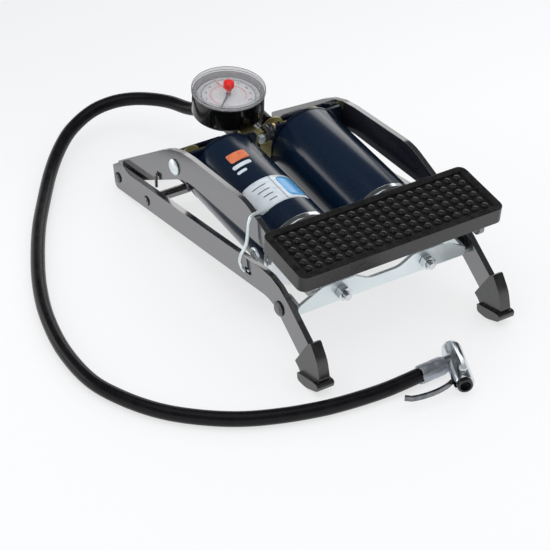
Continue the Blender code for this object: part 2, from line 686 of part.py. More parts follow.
def gauge(parent):
    """The dial gauge: case, movement, dial, clear cover, pointer and the red set marker."""
    base = GAUGE
    r = GAUGE_R - 0.0007
    case = [(r - 0.0010, 0.0205), (r, 0.0195), (r, 0.0020), (r - 0.0020, 0), (0.0043, 0), (0.0043, 0.0020),
            (r - 0.0026, 0.0020), (r - 0.0018, 0.0205)]
    body = turned("gauge_case", case, base, UPRIGHT, BLACK_PLASTIC, True, 36)
    disc = [(0.0242, 0.0163), (0.0242, 0.0155), (0.0013, 0.0155), (0.0013, 0.0163)]
    dial = turned("gauge_dial", disc, base, UPRIGHT, WHITE, True, 32)
    top = GAUGE_HEIGHT
    lens = [(0.0240, top), (0.0272, top - 0.0002), (GAUGE_R, top - 0.0012), (GAUGE_R, 0.0208),
            (0.0249, 0.0208), (0.0249, 0.0150), (0.0245, 0.0150), (0.0245, top - 0.0014),
            (0.0017, top - 0.0014), (0.0017, top)]
    cover = turned("gauge_lens", lens, base, UPRIGHT, CLEAR, True, 36)
    block = box("gauge_movement", (0.016, 0.012, 0.006), base + Vector((0, 0, 0.0090)), BRASS)
    tube_r, tube_z = 0.0165, 0.0090
    loop = [base + Vector((tube_r * math.sin(a), -tube_r * math.cos(a), tube_z))
            for a in (math.radians(40 + 20 * k) for k in range(15))]
    bourdon = wire("bourdon_tube", loop, 0.0016, BRASS, 1)
    carry(parent, body, dial, cover, block, bourdon)
    bpy.context.view_layer.update()
    needle_axis = pivot("needle_axis", (0, 0, 0))
    needle_axis.parent = parent
    needle_axis.location = base
    hub = turned("gauge_needle", [(0, 0.0185), (0.0020, 0.0185), (0.0020, 0.0175), (0.0009, 0.0175),
                                  (0.0009, 0.0125), (0, 0.0125)], (0, 0, 0), UPRIGHT, STEEL, steps=12)
    pointer = plate("needle_blade", [[Vector(p) for p in ((-0.0010, 0.0060), (-0.0010, 0), (-0.0003, -0.0190),
                                                          (0.0003, -0.0190), (0.0010, 0), (0.0010, 0.0060))]],
                    0.0005, (0, 0, 0.0179), STEEL, ACROSS_Z)
    turn_about_z(pointer, math.radians(-47))
    join(hub, pointer)
    carry(needle_axis, hub)
    marker_axis = pivot("marker_axis", (0, 0, 0))
    marker_axis.parent = parent
    marker_axis.location = base
    grip = [(0, top + 0.0052), (0.0030, top + 0.0052), (0.0042, top + 0.0042), (0.0042, top + GAP),
            (0.0014, top + GAP), (0.0014, 0.0193), (0, 0.0193)]
    knob = turned("gauge_marker_knob", grip, (0, 0, 0), UPRIGHT, RED, steps=20)
    blade = plate("marker_blade", [[Vector(p) for p in ((-0.0007, 0), (0.0007, 0), (0.0004, 0.0205),
                                                        (-0.0004, 0.0205))]],
                  0.0005, (0, 0, 0.0197), RED, ACROSS_Z)
    turn_about_z(blade, math.radians(5))
    join(knob, blade)
    carry(marker_axis, knob)


def turn_about_z(obj, angle):
    obj.data.transform(Matrix.Rotation(angle, 4, "Z"))


def barrels(lift):
    swing = pivot("barrel_axis", BARREL_PIVOT, None, BARREL_TILT)
    hold(lift, swing)
    bpy.context.view_layer.update()
    for side, sign in (("left", -1), ("right", 1)):
        barrel(side, sign, swing)
    bracket(swing)
    valve_plate(swing)
    valve_block(swing)
    gauge(swing)
    return swing


# --- Pistons and crossbar, in the barrels' frame ----------------------------------------------
def piston(side, sign, parent):
    x = sign * BARREL_X
    reach = PISTON_REAR - PISTON_LENGTH - (CROSSBAR_FRONT + CROSSBAR_THICK) - GAP
    stud = 0.0120
    rear_stud = PISTON_LENGTH
    rod = [(0, reach + stud), (STUD_R, reach + stud), (STUD_R, reach), (ROD_R, reach), (ROD_R, GAP),
           (STUD_R, GAP), (STUD_R, -rear_stud), (0, -rear_stud)]
    start = PISTON_REAR - PISTON_LENGTH
    shaft = turned("piston_rod_" + side, rod, (x, start, BARREL_Z), FORWARD, CHROME, steps=20)
    hole, groove = STUD_R + GAP, 0.0245
    disc = [(BORE_R - 0.0008, PISTON_LENGTH), (BORE_R - 0.0008, 0.0080), (groove, 0.0080), (groove, 0.0040),
            (BORE_R - 0.0008, 0.0040), (BORE_R - 0.0008, 0), (hole, 0), (hole, PISTON_LENGTH)]
    head = turned("piston_" + side, disc, (x, PISTON_REAR, BARREL_Z), FORWARD, BLACK_PLASTIC, True)
    lip = [(BORE_R - GAP, 0.0077), (BORE_R - GAP, 0.0043), (groove + GAP, 0.0043), (groove + GAP, 0.0077)]
    ring = turned("piston_seal_" + side, lip, (x, PISTON_REAR, BARREL_Z), FORWARD, SEAL, True)
    hexagon = [Vector((x, BARREL_Z)) + 0.0058 * Vector((math.cos(a), math.sin(a)))
               for a in (math.radians(60 * k + 10) for k in range(6))]
    thick = 0.0050
    place = (0, CROSSBAR_FRONT - GAP - thick / 2, 0)
    outlines = [hexagon, circle(x, BARREL_Z, STUD_R + GAP, 16)]
    nut = plate("rod_nut_" + side, outlines, thick, place, ZINC, ACROSS_Y)
    carry(parent, shaft, head, ring, nut)


def crossbar(parent):
    """The zinc-plated crossbar in front, bent back into a lug at each end."""
    half, low, high = CROSSBAR_HALF, -0.0169, 0.0010
    end = half - CROSSBAR_THICK / 2
    corners = [(end, low, 0), (end, -0.0090, 0.002), (0.0520, high, 0.006), (0.0250, high, 0.004),
               (0.0130, -0.0062, 0.012), (-0.0130, -0.0062, 0.012), (-0.0250, high, 0.004),
               (-0.0520, high, 0.006), (-end, -0.0090, 0.002), (-end, low, 0)]
    holes = [circle(sign * BARREL_X, BARREL_Z, STUD_R + GAP, 16) for sign in (-1, 1)]
    middle = CROSSBAR_FRONT + CROSSBAR_THICK / 2
    bar = plate("piston_crossbar", [rounded(corners), *holes], CROSSBAR_THICK, (0, middle, 0), ZINC, ACROSS_Y)
    lug_y, lug_z = -0.1613, -0.0158
    for sign in (-1, 1):
        outline = rounded([(CROSSBAR_FRONT, low + 0.0005, 0), (lug_y - 0.0040, low - 0.0070, 0.004),
                           (lug_y + 0.0075, low - 0.0070, 0.006), (lug_y + 0.0075, -0.0080, 0.006),
                           (CROSSBAR_FRONT, -0.0098, 0)])
        lug = plate(f"crossbar_lug_{sign}", [outline], CROSSBAR_THICK,
                    (sign * (half - CROSSBAR_THICK / 2), 0, 0), ZINC)
        join(bar, lug)
    carry(parent, bar)


def pistons(swing):
    slide = pivot("piston_axis", (0, 0, 0))
    slide.parent = swing
    crossbar(slide)
    for side, sign in (("left", -1), ("right", 1)):
        piston(side, sign, slide)


# --- Hose and chuck -------------------------------------------------------------------------
HOSE_ROUTE = [
    (0.0184, 0.0815, 0.0649), (0.0184, 0.0970, 0.0648), (0.0173, 0.1160, 0.0619),
    (0.0137, 0.1349, 0.0530), (0.0083, 0.1532, 0.0420), (0.0015, 0.1734, 0.0337),
    (-0.0058, 0.1934, 0.0315), (-0.0162, 0.2083, 0.0297), (-0.0290, 0.2189, 0.0281),
    (-0.0443, 0.2251, 0.0258), (-0.0624, 0.2258, 0.0221), (-0.0841, 0.2179, 0.0166),
    (-0.1026, 0.2033, 0.0116), (-0.1214, 0.1818, 0.0077), (-0.1411, 0.1535, 0.0059),
    (-0.1611, 0.1219, HOSE_Z), (-0.1798, 0.0863, HOSE_Z),
    (-0.1945, 0.0532, HOSE_Z), (-0.2060, 0.0180, HOSE_Z), (-0.2130, -0.0219, HOSE_Z),
    (-0.2122, -0.0606, HOSE_Z), (-0.2025, -0.0891, HOSE_Z), (-0.1873, -0.1140, HOSE_Z),
    (-0.1680, -0.1335, HOSE_Z), (-0.1445, -0.1500, HOSE_Z), (-0.1188, -0.1613, HOSE_Z),
    (-0.0914, -0.1693, HOSE_Z), (-0.0691, -0.1730, HOSE_Z), (-0.0453, -0.1752, 0.0058),
    (-0.0282, -0.1757, 0.0066), (-0.0145, -0.1758, 0.0075),
]


def hose_and_chuck():
    """The hose from the union to the thumb-lever chuck, which lies on the floor."""
    wire("hose", smooth_route(HOSE_ROUTE, 0.0180), HOSE_R, RUBBER, 2)
    aim = Matrix.Rotation(CHUCK_TURN, 3, "Z")
    forwards = Euler((math.radians(90), 0, CHUCK_TURN))

    def at(along, side=0.0, up=0.0):
        """A point beside the chuck's axis; along runs from its middle to its mouth."""
        return CHUCK_HEAD + aim @ Vector((side, -along, up))

    outline = [(0, 0.0200), (0.0068, 0.0200), (0.0074, 0.0185), (0.0074, -0.0185), (0.0066, -0.0215),
               (0.0040, -0.0235), (0, -0.0235)]
    head = turned("chuck_body", outline, CHUCK_HEAD, forwards, CHROME, steps=24)
    start = Vector(HOSE_ROUTE[-1]) + Vector((2 * GAP, 0, 0))
    end = at(-0.0062, -0.0030)
    way = end - start
    sleeve = cylinder("chuck_sleeve", SLEEVE_R, way.length, (start + end) / 2, way, ZINC, 20)
    mouth = cylinder("chuck_mouth", 0.0058, 0.0100, at(0.0218), aim @ Vector((0, 1, 0)), CHROME, 20)
    slot = box("lever_slot", (0.0123, 0.0120, LEVER_HEIGHT + 2 * GAP), at(0.0148, -0.0024), CHROME,
               (0, 0, CHUCK_TURN))
    drill = cylinder("pin_hole", 0.0016 + GAP, 0.0200, at(LEVER_PIVOT), (0, 0, 1), CHROME, 12)
    join(head, sleeve)
    cut(head, mouth, slot, drill)
    seal = [(0.0055, 0.0225), (0.0055, 0.0171), (0.0038, 0.0171), (0.0038, 0.0225)]
    turned("chuck_seal", seal, CHUCK_HEAD, forwards, RUBBER, True, 20)
    pin = [(0, 0.0093), (0.0020, 0.0093), (0.0027, 0.0086), (0.0027, 0.0077), (0.0016, 0.0077),
           (0.0016, -0.0072), (0, -0.0072)]
    turned("chuck_pin", pin, at(LEVER_PIVOT), UPRIGHT, ZINC, steps=12)
    lever(at(LEVER_PIVOT))


def lever(pin_place):
    """The curved thumb lever, whose round end turns on the pin inside the chuck."""
    across = plate("lever_end", [circle(0, 0, 0.0034, 20), circle(0, 0, 0.0016 + GAP, 12)], LEVER_HEIGHT,
                   (0, 0, 0), ZINC, ACROSS_Z)
    middle = smooth_route([(-0.0022, 0, 0), (-0.0070, 0.0006, 0), (-0.0130, -0.0018, 0),
                           (-0.0230, -0.0034, 0), (-0.0340, -0.0030, 0), (-0.0430, -0.0010, 0),
                           (-0.0470, 0.0022, 0)], 0.004)
    sides = ([], [])
    for before, here, after in zip([middle[0], *middle], middle, [*middle[1:], middle[-1]]):
        along = (after - before).normalized()
        normal = Vector((-along.y, along.x, 0)) * 0.0010
        sides[0].append((here + normal).xy)
        sides[1].append((here - normal).xy)
    handle = plate("chuck_lever", [sides[0] + sides[1][::-1]], LEVER_HEIGHT, (0, 0, 0), ZINC, ACROSS_Z)
    join(handle, across)
    drill = cylinder("lever_hole", 0.0016 + GAP, 0.0200, (0, 0, 0), (0, 0, 1), ZINC, 12)
    cut(handle, drill)
    carry(pivot("lever_axis", pin_place), handle)


base_frame()
LIFT = pedal_frame()
SWING = barrels(LIFT)
pistons(SWING)
hose_and_chuck()
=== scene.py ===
"""Looks of the twin-barrel foot air pump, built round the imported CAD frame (metres, +Z up)."""

import json
import math

import bmesh
import bpy
from mathutils import Matrix, Vector


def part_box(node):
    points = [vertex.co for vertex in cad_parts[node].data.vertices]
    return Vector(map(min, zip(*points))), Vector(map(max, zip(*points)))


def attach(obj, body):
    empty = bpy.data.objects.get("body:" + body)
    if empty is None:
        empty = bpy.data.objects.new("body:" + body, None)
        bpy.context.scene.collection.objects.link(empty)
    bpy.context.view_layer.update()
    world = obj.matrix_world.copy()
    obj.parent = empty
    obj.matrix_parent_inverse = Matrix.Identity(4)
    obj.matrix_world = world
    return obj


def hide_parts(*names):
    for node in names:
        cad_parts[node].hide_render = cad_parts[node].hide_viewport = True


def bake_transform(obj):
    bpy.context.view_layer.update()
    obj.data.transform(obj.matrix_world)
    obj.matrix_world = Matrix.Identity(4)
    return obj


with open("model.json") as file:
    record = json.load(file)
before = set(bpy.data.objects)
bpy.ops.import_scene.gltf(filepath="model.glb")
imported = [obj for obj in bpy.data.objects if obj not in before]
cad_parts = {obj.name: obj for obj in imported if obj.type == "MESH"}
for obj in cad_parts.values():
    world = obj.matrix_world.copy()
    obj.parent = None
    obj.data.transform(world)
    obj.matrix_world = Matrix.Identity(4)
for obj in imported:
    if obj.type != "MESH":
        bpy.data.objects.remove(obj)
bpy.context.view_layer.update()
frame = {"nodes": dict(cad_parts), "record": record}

NODES = frame["nodes"]
BODIES = frame["record"]["behaviour"]["bodies"]
JOINTS = {joint["name"]: joint for joint in frame["record"]["behaviour"]["joints"]}
BODY_OF = {node: body for body, nodes in BODIES.items() for node in nodes}

# --- Dimensions ------------------------------------------------------------------------------
BARREL_PIVOT = Vector(JOINTS["barrel_swing"]["pos_m"])
BARREL_TILT = math.radians(3.5)
BARREL_X = 0.03585
BARREL_Z = -0.00805
BARREL_R = 0.0300
BORE_R = 0.0282
BARREL_REAR = -0.0108
BARREL_FRONT = -0.1168
GAUGE_FOOT = Vector((-0.0101, 0.0299, 0.0097))
GAUGE_R = 0.0285
DIAL_R = 0.0242
DIAL_TOP = 0.0163
LENS_TOP = 0.0240
PEDAL_TILT = math.radians(5.7)
PEDAL_SIZE = Vector((0.1702, 0.0541, 0.0125))
STUD_COLUMNS, STUD_ROWS = 19, 6
STUD_PITCH = (0.0082, 0.0070)
CHUCK_HEAD = Vector((0.0147, -0.1818, 0.0078))
CHUCK_TURN = math.radians(-21.5)
LEVER_PIVOT = 0.0126
HOSE_R = 0.0055
HOSE_Z = 0.0056


# --- Scene -----------------------------------------------------------------------------------
def add(obj):
    bpy.context.scene.collection.objects.link(obj)
    return obj


def camera():
    """Stands left of and in front of the pump and looks down on it."""
    azimuth, elevation, roll = math.radians(-31.98), math.radians(36.477), math.radians(0.745)
    distance, target = 1.5256, Vector((-0.0526, -0.0460, 0.0266))
    back = Vector((math.sin(azimuth) * math.cos(elevation), -math.cos(azimuth) * math.cos(elevation),
                   math.sin(elevation)))
    right = Vector((math.cos(azimuth), math.sin(azimuth), 0))
    up = back.cross(right)
    across = math.cos(roll) * right + math.sin(roll) * up
    upward = math.cos(roll) * up - math.sin(roll) * right
    data = bpy.data.cameras.new("camera")
    data.lens = 137.45
    data.sensor_width = 36
    view = add(bpy.data.objects.new("camera", data))
    turn = Matrix((across, upward, back)).transposed().to_4x4()
    view.matrix_world = Matrix.Translation(target + back * distance) @ turn
    bpy.context.scene.camera = view


def area_light(name, place, size, power):
    """A rectangular light that faces the origin."""
    data = bpy.data.lights.new(name, "AREA")
    data.shape = "RECTANGLE"
    data.size, data.size_y = size
    data.energy = power
    lamp = add(bpy.data.objects.new(name, data))
    lamp.location = place
    lamp.rotation_euler = Vector(place).to_track_quat("Z", "Y").to_euler()


def sky():
    """A pale even light on matt surfaces; in gloss, bright near the horizon and dark overhead."""
    world = bpy.data.worlds.new("studio")
    bpy.context.scene.world = world
    world.use_nodes = True
    nodes, links = world.node_tree.nodes, world.node_tree.links
    place = nodes.new("ShaderNodeTexCoord")
    parts = nodes.new("ShaderNodeSeparateXYZ")
    shade = nodes.new("ShaderNodeValToRGB")
    stops = ((0.0, 1.0), (0.16, 0.90), (0.38, 0.22), (0.62, 0.06), (1.0, 0.10))
    while len(shade.color_ramp.elements) < len(stops):
        shade.color_ramp.elements.new(0.5)
    for element, (position, level) in zip(shade.color_ramp.elements, stops):
        element.position = position
        element.color = (level * 0.985, level * 0.99, level, 1)
    links.new(place.outputs["Generated"], parts.inputs["Vector"])
    links.new(parts.outputs["Z"], shade.inputs["Fac"])
    links.new(shade.outputs["Color"], nodes["Background"].inputs["Color"])
    even = nodes.new("ShaderNodeBackground")
    even.inputs["Color"].default_value = (0.97, 0.98, 1.0, 1)
    even.inputs["Strength"].default_value = 0.93
    path = nodes.new("ShaderNodeLightPath")
    both = nodes.new("ShaderNodeMixShader")
    links.new(path.outputs["Is Diffuse Ray"], both.inputs["Fac"])
    links.new(nodes["Background"].outputs["Background"], both.inputs[1])
    links.new(even.outputs["Background"], both.inputs[2])
    links.new(both.outputs["Shader"], nodes["World Output"].inputs["Surface"])


def make_floor():
    """A white floor with painted light: it glows a little, so its shadows stay pale, and a painted darker
    band dims it behind the pump.
    """
    bpy.ops.mesh.primitive_plane_add(size=12, location=(0, 0, -0.0002))
    floor = bpy.context.object
    floor.name = "floor"
    mat = new_material("floor_white")
    value = noise(mat, 2.0, 2.0)
    mat["links"].new(ramp(mat, value, ((0.3, (0.295, 0.298, 0.300)), (0.7, (0.305, 0.308, 0.310)))),
                     mat["shader"].inputs["Base Color"])
    mat["shader"].inputs["Roughness"].default_value = 0.8
    mat["shader"].inputs["Specular IOR Level"].default_value = 0.1
    # Painted light: the floor's emission is bright near the pump, painted darker in a band about 0.85 m
    # behind it, and bright again far back.
    place = mat["nodes"].new("ShaderNodeTexCoord")
    parts = mat["nodes"].new("ShaderNodeSeparateXYZ")
    mat["links"].new(place.outputs["Object"], parts.inputs["Vector"])
    painted_dim_band_place = mat["nodes"].new("ShaderNodeMapRange")
    painted_dim_band_place.inputs["From Min"].default_value, painted_dim_band_place.inputs["From Max"].default_value = 0.10, 2.6
    mat["links"].new(parts.outputs["Y"], painted_dim_band_place.inputs["Value"])
    painted_floor_glow = ramp(mat, painted_dim_band_place.outputs["Result"], (
        (0.0, (0.985, 0.985, 0.99)), (0.30, (0.62, 0.625, 0.65)), (0.85, (0.985, 0.985, 0.99))))
    mat["links"].new(painted_floor_glow, mat["shader"].inputs["Emission Color"])
    mat["shader"].inputs["Emission Strength"].default_value = 0.66
    floor.data.materials.append(mat["material"])


def studio():
    sky()
    area_light("top_light", (-0.30, -0.20, 2.2), (1.9, 1.9), 8.0)
    area_light("back_left_light", (-1.75, 1.75, 0.72), (1.9, 0.8), 8.0)
    area_light("back_right_light", (1.65, 1.75, 0.95), (2.2, 0.9), 9.0)
    make_floor()
    bpy.context.scene.view_settings.view_transform = "Standard"


# --- Materials -------------------------------------------------------------------------------
def new_material(name):
    """A node material, with the handles that its builder needs."""
    material = bpy.data.materials.new(name)
    material.use_nodes = True
    nodes, links = material.node_tree.nodes, material.node_tree.links
    return {"material": material, "nodes": nodes, "links": links, "shader": nodes["Principled BSDF"]}


def noise(mat, scale, detail=3.0, stretch=(1, 1, 1)):
    """Noise over the piece's own space, in cycles a metre, and its value socket."""
    place = mat["nodes"].new("ShaderNodeTexCoord")
    mapping = mat["nodes"].new("ShaderNodeMapping")
    mapping.inputs["Scale"].default_value = stretch
    texture = mat["nodes"].new("ShaderNodeTexNoise")
    texture.inputs["Scale"].default_value = scale
    texture.inputs["Detail"].default_value = detail
    mat["links"].new(place.outputs["Object"], mapping.inputs["Vector"])
    mat["links"].new(mapping.outputs["Vector"], texture.inputs["Vector"])
    return texture.outputs["Fac"]


def ramp(mat, value, stops):
    """A colour ramp over (position, colour) stops."""
    node = mat["nodes"].new("ShaderNodeValToRGB")
    elements = node.color_ramp.elements
    while len(elements) < len(stops):
        elements.new(0.5)
    for element, (position, colour) in zip(elements, stops):
        element.position = position
        element.color = (*colour, 1)
    mat["links"].new(value, node.inputs["Fac"])
    return node.outputs["Color"]


def spread(mat, value, low, high):
    """The value's middle range mapped to low and high."""
    node = mat["nodes"].new("ShaderNodeMapRange")
    node.inputs["From Min"].default_value = 0.35
    node.inputs["From Max"].default_value = 0.65
    node.inputs["To Min"].default_value = low
    node.inputs["To Max"].default_value = high
    mat["links"].new(value, node.inputs["Value"])
    return node.outputs["Result"]


def bump(mat, value, strength, distance):
    node = mat["nodes"].new("ShaderNodeBump")
    node.inputs["Strength"].default_value = strength
    node.inputs["Distance"].default_value = distance
    mat["links"].new(value, node.inputs["Height"])
    mat["links"].new(node.outputs["Normal"], mat["shader"].inputs["Normal"])


def finish(name, dark, light, rough, grain=60.0, stretch=(1, 1, 1), relief=None, **settings):
    """A surface whose colour and roughness wander between two values, with a fine relief."""
    mat = new_material(name)
    value = noise(mat, grain, 4.0, stretch)
    mat["links"].new(ramp(mat, value, ((0.35, dark), (0.65, light))), mat["shader"].inputs["Base Color"])
    mat["links"].new(spread(mat, value, *rough), mat["shader"].inputs["Roughness"])
    if relief:
        scale, strength, distance = relief
        bump(mat, noise(mat, scale, 3.0, stretch), strength, distance)
    for socket, setting in settings.items():
        mat["shader"].inputs[socket.replace("_", " ")].default_value = setting
    return mat["material"]


def make_materials():
    """Every finish on the pump, by name."""
    made = {}
    made["black_paint"] = finish(
        "black_paint", (0.016, 0.016, 0.020), (0.022, 0.022, 0.028), (0.10, 0.16), 30.0,
        relief=(420.0, 0.08, 0.0002), IOR=2.8)
    made["navy_paint"] = finish(
        "navy_paint", (0.0024, 0.0085, 0.022), (0.0048, 0.0170, 0.042), (0.17, 0.23), 1600.0,
        relief=(300.0, 0.04, 0.0002), IOR=1.5, Coat_Weight=0.15, Coat_Roughness=0.14)
    made["bracket_paint"] = finish(
        "bracket_paint", (0.004, 0.008, 0.018), (0.007, 0.012, 0.028), (0.16, 0.22), 300.0,
        relief=(380.0, 0.06, 0.0002), IOR=1.6)
    made["zinc"] = finish(
        "zinc_plate", (0.78, 0.86, 0.88), (0.84, 0.91, 0.93), (0.30, 0.38), 60.0,
        relief=(260.0, 0.03, 0.0002), Metallic=0.75)
    made["yellow_zinc"] = finish(
        "yellow_zinc", (0.36, 0.31, 0.13), (0.46, 0.41, 0.20), (0.32, 0.42), 120.0,
        relief=(300.0, 0.05, 0.0002), Metallic=0.8)
    made["chrome"] = finish(
        "chrome", (0.66, 0.69, 0.72), (0.74, 0.77, 0.80), (0.12, 0.18), 60.0,
        relief=(240.0, 0.02, 0.0002), Metallic=1.0)
    made["dark_steel"] = finish(
        "dark_steel", (0.012, 0.012, 0.015), (0.030, 0.030, 0.036), (0.20, 0.30), 400.0,
        relief=(800.0, 0.08, 0.0001), IOR=2.0)
    made["rubber"] = finish(
        "pedal_rubber", (0.0030, 0.0028, 0.0030), (0.0052, 0.0048, 0.0050), (0.24, 0.33), 160.0,
        relief=(1500.0, 0.10, 0.0001), IOR=1.6)
    made["hose_rubber"] = finish(
        "hose_rubber", (0.0045, 0.0044, 0.0055), (0.0075, 0.0072, 0.0090), (0.24, 0.32), 120.0,
        relief=(1300.0, 0.08, 0.0001), IOR=1.28)
    made["plastic"] = finish(
        "black_plastic", (0.0065, 0.0065, 0.0070), (0.0110, 0.0110, 0.0115), (0.20, 0.30), 220.0,
        relief=(900.0, 0.08, 0.0001), IOR=1.75)
    made["gauge_plastic"] = finish(
        "gauge_plastic", (0.0025, 0.0025, 0.0025), (0.0045, 0.0045, 0.0045), (0.09, 0.14), 90.0,
        relief=(420.0, 0.03, 0.0002), IOR=1.5)
    made["dial"] = finish(
        "dial_white", (0.58, 0.58, 0.60), (0.64, 0.64, 0.66), (0.45, 0.55), 140.0)
    made["dial_black"] = finish("dial_black", (0.05, 0.05, 0.06), (0.09, 0.09, 0.10), (0.4, 0.5), 300.0)
    made["dial_red"] = finish("dial_red", (0.66, 0.14, 0.13), (0.76, 0.20, 0.18), (0.4, 0.5), 300.0)
    made["red"] = finish(
        "red_plastic", (0.68, 0.012, 0.010), (0.82, 0.020, 0.014), (0.18, 0.26), 260.0,
        relief=(700.0, 0.05, 0.0001), IOR=1.5, Subsurface_Weight=0.05)
    made["cast_grey"] = finish(
        "cast_grey", (0.36, 0.39, 0.44), (0.46, 0.49, 0.54), (0.36, 0.48), 260.0,
        relief=(500.0, 0.20, 0.0002), Metallic=0.85)
    made["lever_steel"] = finish(
        "lever_steel", (0.16, 0.17, 0.18), (0.26, 0.27, 0.29), (0.24, 0.36), 200.0,
        relief=(500.0, 0.10, 0.0001), Metallic=1.0)
    made["brass"] = finish(
        "brass", (0.50, 0.36, 0.14), (0.62, 0.46, 0.20), (0.22, 0.32), 150.0, (6, 1, 1),
        relief=(600.0, 0.06, 0.0001), Metallic=1.0)
    # Partly painted reflection: the lens is see-through, and its pale base paints the haze of reflections
    # over the dial.
    made["clear"] = finish(
        "clear_plastic", (0.80, 0.81, 0.83), (0.86, 0.87, 0.88), (0.03, 0.06), 60.0,
        IOR=1.5, Alpha=0.10)
    # Painted reflection: the rim's grey, part-see-through base paints the bright reflected arcs on the
    # clear rim.
    made["clear_rim_painted_sheen"] = finish(
        "clear_rim_painted_sheen", (0.42, 0.42, 0.44), (0.52, 0.52, 0.54), (0.03, 0.06), 60.0,
        IOR=1.9, Alpha=0.34)
    made["marker_blade"] = finish(
        "marker_blade", (0.86, 0.22, 0.20), (0.90, 0.28, 0.25), (0.10, 0.16), 200.0,
        IOR=1.5, Alpha=0.50)
    made["label_white"] = finish(
        "label_white", (0.62, 0.68, 0.74), (0.70, 0.75, 0.80), (0.25, 0.35), 200.0, Coat_Weight=0.4)
    made["label_blue"] = finish(
        "label_blue", (0.05, 0.30, 0.62), (0.08, 0.36, 0.70), (0.25, 0.35), 200.0, Coat_Weight=0.4)
    made["label_grey"] = finish(
        "label_grey", (0.10, 0.13, 0.17), (0.14, 0.17, 0.21), (0.30, 0.40), 200.0, Coat_Weight=0.4)
    made["label_orange"] = finish(
        "label_orange", (0.66, 0.16, 0.06), (0.76, 0.21, 0.09), (0.25, 0.35), 200.0, Coat_Weight=0.4)
    return made


# --- Mesh tools ------------------------------------------------------------------------------
def set_material(obj, name):
    obj.data.materials.clear()
    obj.data.materials.append(MATERIALS[name])


def soften(obj, angle=35.0):
    obj.data.shade_smooth()
    obj.data.set_sharp_from_angle(angle=math.radians(angle))


def bevel(obj, width, segments=2, angle=35.0):
    change = obj.modifiers.new("edges", "BEVEL")
    change.width = width
    change.segments = segments
    change.limit_method = "ANGLE"
    change.angle_limit = math.radians(angle)
    change.harden_normals = True
    change.use_clamp_overlap = True


def refined(node, material, width=0.0004, segments=2, angle=35.0, body=None):
    """A copy of a CAD node with clean faces and rounded edges, which stands for the node."""
    mesh = NODES[node].data.copy()
    shape = bmesh.new()
    shape.from_mesh(mesh)
    bmesh.ops.remove_doubles(shape, verts=shape.verts, dist=0.000002)
    bmesh.ops.dissolve_limit(shape, angle_limit=math.radians(1.0), verts=shape.verts, edges=shape.edges)
    shape.to_mesh(mesh)
    shape.free()
    obj = add(bpy.data.objects.new(node + "_finished", mesh))
    obj.matrix_world = NODES[node].matrix_world.copy()
    set_material(obj, material)
    soften(obj, angle)
    if width:
        bevel(obj, width, segments, angle)
    if body != "blended":
        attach(obj, body or BODY_OF[node])
    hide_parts(node)
    return obj


def mesh_object(name, shape, material, angle=35.0):
    mesh = bpy.data.meshes.new(name)
    bmesh.ops.recalc_face_normals(shape, faces=shape.faces)
    shape.to_mesh(mesh)
    shape.free()
    obj = add(bpy.data.objects.new(name, mesh))
    set_material(obj, material)
    soften(obj, angle)
    return obj


def lathe(name, profile, place, material, steps=96, closed=False, angle=35.0):
    """A round piece: the profile (radius, height) turned about Z, then put in place."""
    shape = bmesh.new()
    points = [shape.verts.new((r, 0, z)) for r, z in profile]
    edges = [shape.edges.new(pair) for pair in zip(points, points[1:])]
    if closed:
        edges.append(shape.edges.new((points[-1], points[0])))
    bmesh.ops.spin(shape, geom=points + edges, angle=2 * math.pi, steps=steps, axis=(0, 0, 1),
                   cent=(0, 0, 0), use_merge=True)
    bmesh.ops.remove_doubles(shape, verts=shape.verts, dist=0.000005)
    bmesh.ops.transform(shape, matrix=place, verts=shape.verts)
    return mesh_object(name, shape, material, angle)


def rounded_profile(corners, radius, pieces=4):
    """A profile (r, z) whose inner corners are rounded; its first and last points stay."""
    points = [Vector(corners[0])]
    for before, here, after in zip(corners, corners[1:], corners[2:]):
        here, before, after = Vector(here), Vector(before), Vector(after)
        reach = min(radius, (before - here).length * 0.45, (after - here).length * 0.45)
        start = here + (before - here).normalized() * reach
        end = here + (after - here).normalized() * reach
        for k in range(pieces + 1):
            t = k / pieces
            points.append((1 - t) ** 2 * start + 2 * t * (1 - t) * here + t * t * end)
    points.append(Vector(corners[-1]))
    return [tuple(p) for p in points]


BARREL_FRAME = Matrix.Translation(BARREL_PIVOT) @ Matrix.Rotation(BARREL_TILT, 4, "X")
FORWARD = Matrix.Rotation(math.radians(90), 4, "X")      # the lathe's Z turned to -Y


def on_barrel(x, y, z=BARREL_Z):
    """A place in the barrels' frame whose own Z axis points forward along them."""
    return BARREL_FRAME @ Matrix.Translation((x, y, z)) @ FORWARD


def on_gauge():
    return BARREL_FRAME @ Matrix.Translation(GAUGE_FOOT)


def tube(name, points, radius, material, sides=16):
    """A round tube along the points, as a mesh with closed ends."""
    data = bpy.data.curves.new(name, "CURVE")
    data.dimensions = "3D"
    data.bevel_depth = radius
    data.bevel_resolution = sides // 4
    data.use_fill_caps = True
    spline = data.splines.new("POLY")
    spline.points.add(len(points) - 1)
    for point, place in zip(spline.points, points):
        point.co = (*place, 1)
    guide = add(bpy.data.objects.new(name + "_guide", data))
    depsgraph = bpy.context.evaluated_depsgraph_get()
    mesh = bpy.data.meshes.new_from_object(guide.evaluated_get(depsgraph))
    bpy.data.objects.remove(guide, do_unlink=True)
    obj = add(bpy.data.objects.new(name, mesh))
    set_material(obj, material)
    soften(obj, 50)
    return obj


def smooth_route(knots, spacing):
    """Points about a spacing apart along a smooth curve through the knots."""
    knots = [Vector(k) for k in knots]
    ends = [2 * knots[0] - knots[1], *knots, 2 * knots[-1] - knots[-2]]
    route = []
    for i in range(1, len(ends) - 2):
        a, b, c, d = ends[i - 1:i + 3]
        pieces = max(1, round((c - b).length / spacing))
        for k in range(pieces):
            t = k / pieces
            route.append(0.5 * (2 * b + (c - a) * t + (2 * a - 5 * b + 4 * c - d) * t * t
                                + (3 * b - a - 3 * c + d) * t ** 3))
    route.append(knots[-1])
    return route


